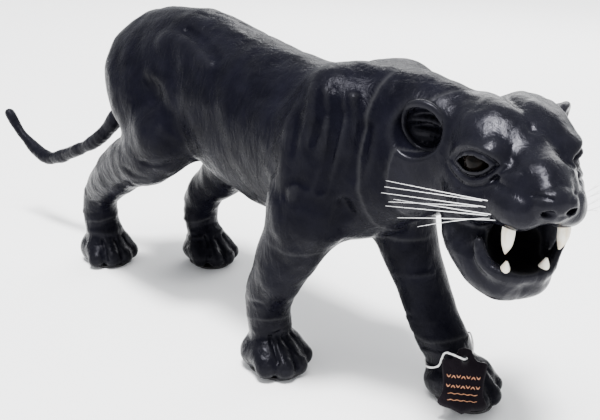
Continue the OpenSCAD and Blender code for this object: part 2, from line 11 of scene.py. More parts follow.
import bmesh
import bpy
import numpy as np
import openvdb
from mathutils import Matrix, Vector


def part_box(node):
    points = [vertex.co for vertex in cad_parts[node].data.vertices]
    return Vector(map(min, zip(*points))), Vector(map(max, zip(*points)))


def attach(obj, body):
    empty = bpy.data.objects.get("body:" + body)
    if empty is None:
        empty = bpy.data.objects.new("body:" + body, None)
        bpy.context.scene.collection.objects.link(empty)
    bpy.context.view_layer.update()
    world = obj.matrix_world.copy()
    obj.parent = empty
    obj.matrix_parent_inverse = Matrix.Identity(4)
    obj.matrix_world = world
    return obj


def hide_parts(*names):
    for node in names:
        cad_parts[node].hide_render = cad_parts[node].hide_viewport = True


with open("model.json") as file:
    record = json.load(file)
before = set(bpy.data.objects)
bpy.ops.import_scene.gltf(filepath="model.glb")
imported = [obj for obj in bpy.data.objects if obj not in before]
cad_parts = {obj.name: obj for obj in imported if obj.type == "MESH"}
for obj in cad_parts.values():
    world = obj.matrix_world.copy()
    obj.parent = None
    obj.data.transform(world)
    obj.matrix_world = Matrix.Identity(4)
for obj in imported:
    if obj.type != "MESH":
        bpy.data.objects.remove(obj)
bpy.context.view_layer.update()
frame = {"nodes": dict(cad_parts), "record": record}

MM = 0.001
RIGHT, LEFT = -1, 1
MID_Y = -4.5
SKIN_T = 1.1


def box_mm(node):
    lo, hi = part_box(node)
    return np.array(lo) / MM, np.array(hi) / MM


def centre_mm(node):
    lo, hi = box_mm(node)
    return (lo + hi) / 2


def side_name(way):
    return "left" if way == LEFT else "right"


# ---- Fields: signed distances in millimetres, negative inside -------------------------------

def smooth_min(a, b, k):
    h = np.maximum(k - np.abs(a - b), 0) / k
    return np.minimum(a, b) - h * h * k / 4


def smooth_max(a, b, k):
    return -smooth_min(-a, -b, k)


def joined(distances, k):
    out = distances[0]
    for d in distances[1:]:
        out = smooth_min(out, d, k)
    return out


def egg(p, centre, radii):
    """An ellipsoid, as a distance that is right near its surface."""
    q = p - np.array(centre, np.float32)
    r = np.array(radii, np.float32)
    k0 = np.sqrt(((q / r) ** 2).sum(1))
    k1 = np.sqrt(((q / (r * r)) ** 2).sum(1))
    return k0 * (k0 - 1) / np.maximum(k1, 1e-6)


def limb(p, a, b, ra, rb, flat=1.0):
    """A tapered rod from a to b. With flat above 1 it is narrower across than it is tall."""
    a, b = np.array(a, np.float32), np.array(b, np.float32)
    ab = b - a
    t = np.clip((p - a) @ ab / max(float(ab @ ab), 1e-6), 0, 1)
    q = p - a - t[:, None] * ab
    if flat != 1.0:
        q = q * np.array([1, flat, 1], np.float32)
    return np.sqrt((q * q).sum(1)) - (ra + t * (rb - ra))


def curve_through(rows, steps):
    """Catmull-Rom curve through rows of any width."""
    p = np.array(rows, float)
    out = []
    for i in range(len(p) - 1):
        a, b, c, d = p[max(i - 1, 0)], p[i], p[i + 1], p[min(i + 2, len(p) - 1)]
        for j in range(steps):
            t = j / steps
            bend = (2 * a - 5 * b + 4 * c - d) * t * t
            twist = (3 * b - a - 3 * c + d) * t ** 3
            out.append(0.5 * (2 * b + (c - a) * t + bend + twist))
    out.append(p[-1])
    return np.array(out)


def rod_chain(p, rows, k=1.5, steps=3):
    """Rows of x, y, z and radius, joined into one limb."""
    s = curve_through(rows, steps)
    return joined([limb(p, a[:3], b[:3], a[3], b[3]) for a, b in zip(s, s[1:])], k)


def near_path(p, points):
    """Distance from each point to a route."""
    best = np.full(len(p), 1e9, np.float32)
    for a, b in zip(points, points[1:]):
        best = np.minimum(best, limb(p, a, b, 0, 0))
    return best


FAR = 22.0


def within(p, lo, hi, field):
    """A field that matters only near its box; farther off it counts as FAR."""
    out = np.full(len(p), FAR, np.float32)
    near = ((p > np.array(lo, np.float32) - FAR) & (p < np.array(hi, np.float32) + FAR)).all(1)
    if near.any():
        out[near] = np.minimum(field(p[near]), FAR)
    return out


def fold(p, points, width, height, steps=3):
    """Height of a soft ridge that follows a route, or of a groove if height is below zero."""
    route = curve_through(points, steps)
    out = np.zeros(len(p), np.float32)
    near = ((p > route.min(0) - 3 * width) & (p < route.max(0) + 3 * width)).all(1)
    if near.any():
        out[near] = height * np.exp(-(near_path(p[near], route) / width) ** 2)
    return out


class Ripples:
    """Smooth seeded unevenness: a sum of warped waves about one length."""

    def __init__(self, seed, length, waves=7):
        rng = np.random.default_rng(seed)
        way = rng.normal(size=(waves, 3))
        way /= np.linalg.norm(way, axis=1)[:, None]
        self.k = (way * (2 * math.pi / (length * rng.uniform(0.75, 1.4, (waves, 1))))).astype(np.float32)
        self.phase = rng.uniform(0, 2 * math.pi, waves).astype(np.float32)
        self.bend = length / 5

    def __call__(self, p):
        q = p + self.bend * np.sin(p[:, [1, 2, 0]] / (self.bend * 2.3))
        return np.sin(q @ self.k.T + self.phase).sum(1) / len(self.phase) ** 0.5


BROAD = Ripples(11, 62)
SLACK = Ripples(12, 23)
FINE = Ripples(13, 7.5)
KNEAD = Ripples(14, 13)


# ---- The head: x forward along the muzzle, y to the animal's left, origin between the eyes ----

HEAD_TURN = math.radians(-30)
EYE = {way: centre_mm(side_name(way) + "_eye") for way in (RIGHT, LEFT)}
EYE_R = float((box_mm("right_eye")[1] - box_mm("right_eye")[0])[2] / 2)
HEAD_AXES = np.array([[math.cos(HEAD_TURN), math.sin(HEAD_TURN), 0],
                      [-math.sin(HEAD_TURN), math.cos(HEAD_TURN), 0], [0, 0, 1]])
EYE_BACK, EYE_DROP = 4, 1
HEAD_AT = (EYE[RIGHT] + EYE[LEFT]) / 2 + HEAD_AXES.T @ np.array([EYE_BACK, 0, EYE_DROP])
EYE_OUT = float(np.linalg.norm(EYE[LEFT] - EYE[RIGHT]) / 2)
EYE_CENTRE = (-EYE_BACK, EYE_OUT, -EYE_DROP)
EYE_FACING = math.radians(45)
EYE_HALF_WIDTH = 9.5
EYE_HALF_HEIGHT = 3.7


def to_head(p):
    return ((p - HEAD_AT.astype(np.float32)) @ HEAD_AXES.T.astype(np.float32)).astype(np.float32)


def from_head(q):
    return np.asarray(q, float) @ HEAD_AXES + HEAD_AT


JAW_SIDE, JAW_TOP = 5, -30


def mirrored(q):
    """The skull is alike on both sides, so its field is worked out on the left one."""
    m = q.copy()
    m[:, 1] = np.abs(m[:, 1])
    return m


def eye_frame(m):
    """Out of the eye, across it towards its outer corner, and up."""
    q = m - np.array(EYE_CENTRE, np.float32)
    c, s = math.cos(EYE_FACING), math.sin(EYE_FACING)
    return q[:, 0] * c + q[:, 1] * s, -q[:, 0] * s + q[:, 1] * c, q[:, 2]


def almond(across, up):
    """Distance outside the almond between the lids; its outer corner sits a little lower."""
    tilt = math.radians(-8)
    a = across * math.cos(tilt) + up * math.sin(tilt)
    b = -across * math.sin(tilt) + up * math.cos(tilt)
    r = (EYE_HALF_WIDTH ** 2 + EYE_HALF_HEIGHT ** 2) / (2 * EYE_HALF_HEIGHT)
    lift = r - EYE_HALF_HEIGHT
    return np.maximum(np.hypot(a, b + lift), np.hypot(a, b - lift)) - r


def skull(m):
    parts = [
        egg(m, (-22, 0, -7), (36, 36, 33)),
        limb(m, (-30, 15, 8), (-14, 13, 9), 17, 15),
        limb(m, (-8, 0, 2), (20, 0, -7), 15, 12, flat=0.86),
        limb(m, (20, 0, -7), (34, 0, -13), 12, 10, flat=0.86),
        limb(m, (-14, 22, 6), (4, 21, 4), 9, 7.5),
        limb(m, (-20, 22, -18), (-2, 22, -20), 17, 14),
        egg(m, (12, 14, -17), (17, 13, 13)),
    ]
    d = joined(parts, 9)
    pad = egg(m, (24, 11.5, -19), (13, 11, 10.5))
    return smooth_min(d, pad, 6)


JAW_ROWS = [(-22, 21, -30, 13), (-8, 20, -46, 11.5), (3, 15, -58, 11), (10, 8, -63, 10.5)]


def jaw(m):
    side = rod_chain(m, JAW_ROWS)
    chin = limb(m, (9, 0, -64), (13, 7, -60), 10.5, 9)
    under = joined([limb(m, (-26, 0, -34), (-2, 0, -52), 20, 13), egg(m, (2, 0, -60), (18, 15, 10))], 6)
    side = smooth_min(side, under, 5)
    lip = rod_chain(m, [(11, 24, -40, 2.6), (15, 20, -49, 3), (21, 13.5, -54.5, 3.2), (23, 0, -56, 3.4)])
    return smooth_min(smooth_min(side, chin, 8), lip, 6)


def mouth_hollow(m):
    """The open mouth: a wedge that cuts both cheeks, and a rounder throat behind it."""
    wide = m * np.array([1, 0.42, 1], np.float32)
    wedge = limb(wide, (15, 0, -38), (58, 0, -37), 3.5, 20)
    inner = joined([egg(m, (16, 0, -42), (25, 15.5, 11.5)), limb(m, (-4, 0, -41), (10, 0, -42), 8, 11)], 6)
    return smooth_min(wedge, inner, 4)


NOSE_TIP = (38.5, 0, -11)


def nose(m):
    """The nose leather with its wings."""
    return joined([egg(m, NOSE_TIP, (6.5, 9.5, 6)), egg(m, (37, 6.5, -13), (6, 5, 5))], 3)


def nostril(m):
    return rod_chain(m, [(46, 3.2, -17.5, 1.2), (43.5, 5.5, -15.6, 2.2), (39, 8.2, -14.6, 1.7)], 1.5)


def head_folds(m):
    """What the stretched leather does over the form, as a height outwards."""
    out, across, up = eye_frame(m)
    facing = 1 / (1 + np.exp(-(out - 3) / 1.2))
    rim = almond(across, up)
    above, below = 1 / (1 + np.exp(-up / 1.5)), 1 / (1 + np.exp(up / 1.5))
    h = facing * 0.55 * np.exp(-((rim - 1.1) / 0.9) ** 2)
    h -= facing * above * 0.9 * np.exp(-((rim - 3.3) / 0.8) ** 2)
    h += facing * above * 1.0 * np.exp(-((rim - 6.2) / 2.0) ** 2)
    h -= facing * below * 0.8 * np.exp(-((rim - 3.0) / 0.8) ** 2)
    h += facing * below * 0.7 * np.exp(-((rim - 4.9) / 1.2) ** 2)
    h -= facing * below * 0.6 * np.exp(-((rim - 7.4) / 1.0) ** 2)
    h += fold(m, [(-34, 0, 27), (-18, 0, 25), (-6, 0, 18), (4, 0, 14)], 3.2, -1.6)
    h += fold(m, [(-30, 9, 26), (-20, 10, 25), (-10, 9, 20)], 5, 1.3)
    h += fold(m, [(-22, 24, 22), (-14, 25, 18)], 4, 1.2)
    h += fold(m, [(6, 15, 6), (16, 12, 2), (27, 10, -6)], 3, -0.9)
    h += fold(m, [(14, 21, -6), (22, 19, -9), (31, 13, -12)], 3.0, -1.3)
    h += fold(m, [(18, 20, -3), (24, 15, -1)], 3.0, 0.9)
    h += fold(m, [(44, 0, -18), (42, 0, -24), (38, 0, -30)], 1.6, -1.6)
    h += fold(m, [(31, 11, -9.5), (38, 9.5, -7.5), (43, 5, -8)], 1.1, -0.8)
    h += fold(m, [(-16, 36, -20), (-10, 38, -32), (-6, 33, -44)], 5, -1.0)
    h += fold(m, [(4, 30, -24), (4, 29, -36), (-2, 29, -48)], 3.5, -0.9)
    for z in (-17, -21, -25):
        h += fold(m, [(13, 25, z), (22, 22.5, z - 0.6), (29, 18, z - 0.8)], 1.1, -0.35, steps=2)
    return h


def mouth_frame(q):
    """The head with its lower jaw's own middle, which sits to the animal's right."""
    low = q.copy()
    low[:, 1] += JAW_SIDE * np.clip((JAW_TOP - q[:, 2]) / 20, 0, 1)
    return mirrored(low)


def head_field(p):
    q = to_head(p)
    m = mirrored(q)
    d = skull(m)
    low = mouth_frame(q)
    d = smooth_min(d, jaw(low), 7)
    d = smooth_min(d, nose(m), 2.5)
    d -= head_folds(m)
    d = smooth_max(d, -mouth_hollow(low), 3.2)
    d = smooth_max(d, -nostril(m), 1.2)
    out, across, up = eye_frame(m)
    socket = np.sqrt(out ** 2 + across ** 2 + up ** 2) - EYE_R - 0.15
    d = smooth_min(d, np.maximum(socket - 1.5, -out + 2), 2.2)
    opening = np.maximum(almond(across, up), -out)
    d = smooth_max(d, -np.maximum(opening, socket - 12), 0.8)
    return np.maximum(d, -np.where(out > 0, socket, 9))


# ---- The body ---------------------------------------------------------------------------------

# x, z, half width and half height along the trunk
TRUNK = [(-92, 160, 33, 39), (-60, 176, 43, 51), (-22, 180, 45, 50), (17, 170, 45, 53), (50, 161, 45, 55),
         (83, 157, 46, 54), (112, 155, 46, 54), (138, 157, 44, 54), (160, 166, 40, 50), (182, 172, 33, 45),
         (205, 175, 27, 38)]
BLADE = [(146, 22, 190, 25), (139, 29, 160, 28), (133, 32, 128, 25)]
HAUNCH = [(-70, 20, 180, 31), (-52, 26, 162, 32), (-27, 31, 142, 27)]
# Ahead of the paw, share of the way out to it, height and radius, from the top down
LEG_ROWS = {
    "front_right": [(35, 1.1, 123, 23), (21, 1.15, 97, 19.5), (5, 1.1, 70, 17.5),
                    (-4.5, 1.05, 50, 16), (-8, 1, 30, 15)],
    "front_left": [(-58, 0.85, 126, 23), (-53, 0.9, 101, 19.5), (-42, 1, 73, 17.5),
                   (-29, 1, 46, 16), (-15, 1, 30, 15)],
    "rear_right": [(126, 1.5, 146, 25), (103, 1.5, 126, 23), (58, 1.4, 104, 19.5), (27, 1.27, 84, 17),
                   (1, 1.12, 63, 15), (-7, 1.04, 42, 14.5), (-4, 1, 26, 15)],
    "rear_left": [(71, 0.78, 139, 25), (51, 0.87, 112, 22), (26, 0.95, 88, 18.5), (3, 0.98, 70, 16),
                  (-9, 1, 51, 15), (-10, 1, 34, 14.5), (-5, 1, 24, 15)],
}
PAW = {leg: centre_mm(leg + "_sole") for leg in LEG_ROWS}
CUFF_Z = 40
FLOOR_GAP = 1.0
TAIL = [(-122, -4.5, 154, 9), (-143, -10.5, 128, 6.8), (-169, -17.5, 104, 6.2), (-207, -22.5, 86, 5.8),
        (-248, -27.5, 72, 5.4), (-282, -33.5, 86, 5), (-299, -38.5, 108, 4.6)]


def trunk_field(p):
    s = curve_through(TRUNK, 7)
    q = p - np.array([0, MID_Y, 0], np.float32)
    return joined([limb(q, (a[0], 0, a[1]), (b[0], 0, b[1]), a[3], b[3], flat=(a[3] + b[3]) / (a[2] + b[2]))
                   for a, b in zip(s, s[1:])], 1)


def sided(rows, way, lead):
    return [(x + lead, MID_Y + way * y, z, r) for x, y, z, r in rows]


def leg_rows(leg):
    paw = PAW[leg]
    return [(paw[0] + x, MID_Y + share * (paw[1] - MID_Y), z, r) for x, share, z, r in LEG_ROWS[leg]]


def leg_field(p, leg):
    return rod_chain(p, leg_rows(leg), 0.6, steps=7)


def toes(paw):
    """The four toes of a paw, from its outer to its inner side."""
    spread = [(-16, 9, 7.2), (-5.6, 16, 7.8), (5.2, 17, 7.8), (15.5, 11, 7.2)]
    return [((paw[0] + 2, paw[1] + y * 0.75, 16), (paw[0] + ahead, paw[1] + y, 9), r)
            for y, ahead, r in spread]


def paw_field(p, leg):
    paw = PAW[leg]
    x, y = float(paw[0]), float(paw[1])
    palm = egg(p, (x - 3, y, 13), (20, 20.5, 15))
    heel = egg(p, (x - 12, y, 12), (12, 17, 12))
    d = joined([palm, heel], 8)
    knuckles = joined([limb(p, a, b, r + 1, r) for a, b, r in toes((x, y))], 1.6)
    return smooth_min(d, knuckles, 4)


def tail_field(p):
    return rod_chain(p, TAIL, 0.5, steps=6)


# Ridges (height above zero) and grooves of the leather: route, width and height
NEAR_FOLDS = [
    ([(146, -51, 205), (151, -55, 190), (149, -55, 168)], 5.6, 2.2),
    ([(152, -50, 206), (157, -53, 192), (154, -54, 176)], 1.9, -2.6),
    ([(156, -47, 206), (161, -51, 194), (161, -52, 180), (157, -53, 170)], 3.4, 2.0),
    ([(160, -46, 207), (166, -49, 190), (164, -50, 168), (158, -52, 148)], 2.3, -3.6),
    ([(163, -43, 207), (170, -46, 190), (168, -46, 172), (162, -47, 158)], 2.4, 2.4),
    ([(170, -39, 204), (173, -42, 190), (170, -44, 174)], 5.0, 3.2),
    ([(179, -37, 186), (180, -42, 172), (177, -44, 158)], 4.4, -4.6),
    ([(158, -43, 207), (165, -39, 208), (171, -33, 207)], 1.8, -2.4),
    ([(140, -54, 196), (143, -57, 182), (143, -58, 168)], 2.2, -1.6),
    ([(132, -56, 186), (136, -59, 172), (136, -60, 158)], 5.0, 1.2),
    ([(164, -38, 140), (165, -37, 133)], 5.5, -4.0),
    ([(145, -61, 146), (145, -61, 143)], 3.2, 1.8),
    ([(152, -58, 150), (146, -60, 152), (140, -61, 148), (139, -61, 141)], 2.2, -1.2),
    ([(132, -62, 133), (133, -62, 120)], 3.2, 1.8),
    ([(128, -61, 128), (128, -60, 114)], 2.6, -1.4),
    ([(-18, -40, 212), (-5, -38, 213), (16, -38, 209), (34, -41, 203)], 6.5, 2.6),
    ([(-2, -30, 219), (12, -30, 216), (28, -33, 211), (40, -36, 206)], 4.0, -2.2),
    ([(-14, -52, 181), (-15, -52, 172)], 6.0, -3.0),
    ([(-24, -52, 190), (-12, -51, 186)], 4.0, 1.4),
    ([(-34, -59, 165), (-31, -62, 140)], 1.6, 1.1),
    ([(-2, -56, 152), (4, -48, 146), (8, -38, 142)], 3.5, 2.2),
    ([(10, -56, 158), (16, -54, 142), (22, -48, 128)], 2.6, -1.7),
    ([(20, -56, 160), (26, -54, 146), (33, -48, 132)], 2.4, -1.2),
    ([(-30, -59, 130), (-14, -57, 124), (2, -46, 128)], 2.6, -2.2),
    ([(-58, -55, 122), (-42, -60, 114), (-28, -58, 110)], 3.0, -1.6),
    ([(62, -52, 186), (84, -53, 192), (104, -52, 186)], 12, 1.4),
    ([(40, -54, 168), (58, -56, 158), (80, -55, 152)], 9, -1.2),
    ([(96, -52, 128), (112, -52, 138), (124, -56, 152)], 5, -1.6),
]
FAR_FOLDS = [
    ([(152, 46, 200), (156, 47, 184), (156, 46, 168)], 3.2, -2.8),
    ([(160, 43, 201), (164, 44, 184), (163, 43, 166)], 3.4, 2.4),
    ([(168, 39, 200), (172, 40, 184), (171, 40, 166)], 3.2, -2.6),
    ([(-12, 28, 214), (16, 29, 210), (40, 31, 203)], 4.6, 2.2),
    ([(8, 44, 160), (14, 42, 144), (20, 38, 130)], 3.0, -1.8),
    ([(-40, 48, 150), (-24, 46, 132), (-6, 38, 124)], 3.0, -1.8),
    ([(60, 44, 182), (84, 45, 190), (104, 43, 184)], 12, 1.2),
]
BACK_FOLDS = [
    ([(-16, -14, 226), (-4, -12, 225), (8, -9, 222)], 2.2, -1.4),
    ([(-6, -2, 227), (8, 2, 225), (22, 6, 221)], 2.4, -1.3),
    ([(18, -20, 218), (34, -16, 215), (50, -14, 211)], 2.6, -1.2),
    ([(26, 0, 220), (46, 3, 215), (62, 8, 211)], 2.6, 1.2),
    ([(140, -4, 216), (156, -3, 218), (176, -2, 220)], 5, -1.4),
]


def body_folds(p):
    h = np.zeros(len(p), np.float32)
    for route, width, height in NEAR_FOLDS + FAR_FOLDS + BACK_FOLDS:
        h += fold(p, route, width, height)
    return h


def leg_wrinkles(p, leg):
    """Rings of slack leather above a paw and behind a bent joint."""
    rows = leg_rows(leg)
    h = np.zeros(len(p), np.float32)
    rng = np.random.default_rng(sum(map(ord, leg)))
    for x, y, z, r in rows[-3:]:
        for _ in range(3):
            turn, rise = rng.uniform(0, 2 * math.pi), rng.uniform(-7, 7)
            arc = [(x + (r + 1) * math.cos(turn + s), y + (r + 1) * math.sin(turn + s), z + rise + 3 * s)
                   for s in (-0.8, -0.25, 0.3, 0.85)]
            h += fold(p, arc, 1.8, rng.choice([-1.0, 0.8]), steps=2)
    return h


def toe_folds(p, leg):
    x, y = PAW[leg][:2]
    h = np.zeros(len(p), np.float32)
    for side, ahead in ((-11, 15), (0, 19), (10.5, 16)):
        cleft = [(x + 2, y + side * 0.6, 29), (x + ahead - 3, y + side * 0.9, 21),
                 (x + ahead + 5, y + side, 10)]
        h += fold(p, cleft, 1.5, -1.5)
    h += fold(p, [(x - 8, y - 17, 30), (x + 6, y - 12, 31), (x + 12, y, 30), (x + 6, y + 12, 31)], 2.4, 0.9)
    return h


def whole_leg(p, leg):
    return smooth_min(leg_field(p, leg), paw_field(p, leg), 6) - leg_wrinkles(p, leg) - toe_folds(p, leg)


def rows_box(rows):
    """Corners of the box round rows of x, y, z and radius."""
    r = np.array(rows, float)
    return (r[:, :3] - r[:, 3:]).min(0), (r[:, :3] + r[:, 3:]).max(0)


LEG_BOX = {leg: rows_box(leg_rows(leg) + [(*PAW[leg][:2], 15, 27)]) for leg in LEG_ROWS}
TAIL_BOX = rows_box(TAIL)
HEAD_BOX = (HEAD_AT - (70, 66, 82), HEAD_AT + (56, 62, 40))


EAR_AT = {RIGHT: (-36, -43, 8), LEFT: (-39, 41, 2)}
EAR_R = 15.5
EAR_FACING = math.radians(52)
EAR_LEAN = math.radians(12)


def ear_clearance(q):
    """The room in front of each ear's cup, in the head's frame."""
    out = np.full(len(q), 1e3, np.float32)
    for way, at in EAR_AT.items():
        front = np.array(at, float) + 22 * np.array([math.cos(EAR_FACING), way * math.sin(EAR_FACING), 0.1])
        out = np.minimum(out, limb(q, at, front, EAR_R - 1.8, EAR_R + 3))
    return out


def figure_field(p):
    """The whole leather surface in one field, so that every seam meets its neighbour."""
    p = p.astype(np.float32)
    d = trunk_field(p)
    for way, lead in ((RIGHT, 0), (LEFT, 8)):
        d = smooth_min(d, rod_chain(p, sided(BLADE, way, lead)), 12)
        d = smooth_min(d, rod_chain(p, sided(HAUNCH, way, lead)), 12)
    for leg in LEG_ROWS:
        d = smooth_min(d, within(p, *LEG_BOX[leg], lambda q: whole_leg(q, leg)), 9)
    d -= body_folds(p)
    d = smooth_min(d, within(p, *TAIL_BOX, tail_field), 7)
    d = smooth_min(d, within(p, *HEAD_BOX, head_field), 7)
    q = to_head(p)
    calm = 1 / (1 + np.exp(-(q[:, 0] + 8) / 10))
    d -= (1 - 0.75 * calm) * (0.9 * BROAD(p) + 0.45 * SLACK(p)) + 0.12 * KNEAD(p) + 0.06 * FINE(p)
    mouth = mouth_hollow(mouth_frame(q))
    d = np.where(q[:, 0] > -10, smooth_max(d, -mouth - 0.3, 1.2), d)
    d = smooth_max(d, -ear_clearance(q), 3)
    return smooth_max(d, FLOOR_GAP - p[:, 2], 2.5)


# ---- From field to mesh -----------------------------------------------------------------------

COARSE = 4
CHUNK = 60000
# Grid step of each panel's mesh, in millimetres
CELL = {"body": 1.65, "leg": 1.3, "tail": 1.1, "paw": 0.9, "head": 0.8, "ear": 0.6}


def evaluated(field, p):
    parts = [p[i:i + CHUNK] for i in range(0, len(p), CHUNK)]
    with ThreadPoolExecutor(4) as pool:
        return np.concatenate(list(pool.map(field, parts)))


def surface(field, lo, hi, cell, level=0.0):
    """Quads on the field's level, worked out finely only near the surface."""
    lo = np.array(lo, float)
    blocks = np.ceil((np.array(hi) - lo) / (cell * COARSE)).astype(int) + 1
    axes = [lo[i] + cell * (np.arange(blocks[i]) * COARSE + (COARSE - 1) / 2) for i in range(3)]
    rough = np.stack(np.meshgrid(*axes, indexing="ij"), -1).reshape(-1, 3).astype(np.float32)
    value = evaluated(field, rough).reshape(blocks) - level
    grid = value.repeat(COARSE, 0).repeat(COARSE, 1).repeat(COARSE, 2).astype(np.float32)
    close = np.abs(grid) < cell * COARSE * 1.6
    index = np.argwhere(close)
    grid[close] = evaluated(field, (lo + index * cell).astype(np.float32)) - level
    vdb = openvdb.FloatGrid(background=float(cell * COARSE))
    vdb.copyFromArray(np.ascontiguousarray(grid))
    points, quads = vdb.convertToQuads(isovalue=0.0)
    return points * cell + lo, quads


def compact(points, faces):
    used = np.unique(faces)
    remap = np.full(len(points), -1)
    remap[used] = np.arange(len(used))
    return points[used], remap[faces]


def rim_points(faces):
    edges = np.sort(np.concatenate([faces[:, [i, (i + 1) % 4]] for i in range(4)]), axis=1)
    pairs, count = np.unique(edges, axis=0, return_counts=True)
    return np.unique(pairs[count == 1])


def slope(field, p, step=0.4):
    out = np.zeros_like(p)
    for i in range(3):
        d = np.zeros(3)
        d[i] = step
        out[:, i] = (field(p + d) - field(p - d)) / (2 * step)
    return out


def kept_part(points, faces, keep, field):
    """The faces where keep is below zero, with the cut edge drawn onto keep = 0."""
    inside = keep(points[faces].mean(1).astype(np.float32)) < 0
    points, faces = compact(points, faces[inside])
    rim = rim_points(faces)
    for _ in range(3):
        p = points[rim]
        k = keep(p.astype(np.float32))
        g = slope(keep, p)
        near = np.abs(k) < 3
        p[near] -= (k / np.maximum((g * g).sum(1), 0.05))[near, None] * g[near]
        s = field(p.astype(np.float32))
        g = slope(field, p)
        p -= np.clip(s, -1, 1)[:, None] * g / np.maximum((g * g).sum(1), 0.2)[:, None]
        points[rim] = p
    return points, faces


def mesh_object(name, points, faces, body="figure", smooth=True):
    """An object from points in millimetres."""
    mesh = bpy.data.meshes.new(name)
    mesh.from_pydata((np.asarray(points) * MM).tolist(), [], [list(map(int, f)) for f in faces])
    mesh.polygons.foreach_set("use_smooth", [smooth] * len(mesh.polygons))
    mesh.update()
    obj = bpy.data.objects.new(name, mesh)
    bpy.context.scene.collection.objects.link(obj)
    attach(obj, body)
    return obj


def applied(obj):
    """Makes the object's modifiers part of its mesh."""
    graph = bpy.context.evaluated_depsgraph_get()
    mesh = bpy.data.meshes.new_from_object(obj.evaluated_get(graph))
    obj.modifiers.clear()
    obj.data = mesh
    return obj


def thickened(obj, thickness):
    """Gives an open skin its thickness, inwards."""
    m = obj.modifiers.new("thickness", "SOLIDIFY")
    m.thickness = thickness * MM
    m.offset = -1
    applied(obj)
    obj.data.set_sharp_from_angle(angle=math.radians(50))
    return obj


def dressed(obj, material, slot, *nodes):
    obj.data.materials.clear()
    obj.data.materials.append(material)
    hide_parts(*nodes)
    return obj


# ---- Panels -----------------------------------------------------------------------------------

HEAD_SEAM = -38
JAW_SEAM = -37
NECK_SEAM_X = 178


def head_side(p):
    """Below zero ahead of the seam behind the ears."""
    q = to_head(p)
    return HEAD_SEAM - q[:, 0] + 0.12 * q[:, 2]


def lining_side(p):
    m = mouth_frame(to_head(p))
    return np.maximum(mouth_hollow(m) - 1.6, -m[:, 0] - 20)


def jaw_side(p):
    q = to_head(p)
    return q[:, 2] - JAW_SEAM + 0.10 * (q[:, 0] - 10)


def tail_side(p):
    """Below zero out along the tail."""
    root, out = np.array(TAIL[0][:3]), np.array(TAIL[1][:3])
    along = (out - root) / np.linalg.norm(out - root)
    return 9 - (p - root) @ along.astype(np.float32)


# A point on each sleeve's upper end, and the way down the leg from it
SLEEVE_TOPS = {
    "front_right": ((137, -43, 105), (-0.25, 0.1, -0.95)),
    "front_left": ((161, 27, 108), (-0.2, 0.1, -0.95)),
    "rear_right": ((-60, -41, 118), (-0.75, 0, -0.65)),
    "rear_left": ((-42, 32, 100), (-0.7, 0, -0.7)),
}


def sleeve_side(p, leg):
    """Below zero down the leg from the end of its sleeve."""
    at, down = (np.array(v, np.float32) for v in SLEEVE_TOPS[leg])
    down = down / np.linalg.norm(down)
    return np.maximum(-(p - at) @ down, leg_field(p, leg) - 16)


def cuff_side(p, leg):
    """Below zero under the cuff where the paw cover starts."""
    x, y = PAW[leg][:2]
    wave = 1.6 * np.sin(p[:, 0] / 7 + y) + 1.2 * np.sin(p[:, 1] / 5 + x)
    reach = np.hypot(p[:, 0] - x, p[:, 1] - y) - 46
    return np.maximum(p[:, 2] - CUFF_Z - wave, reach)


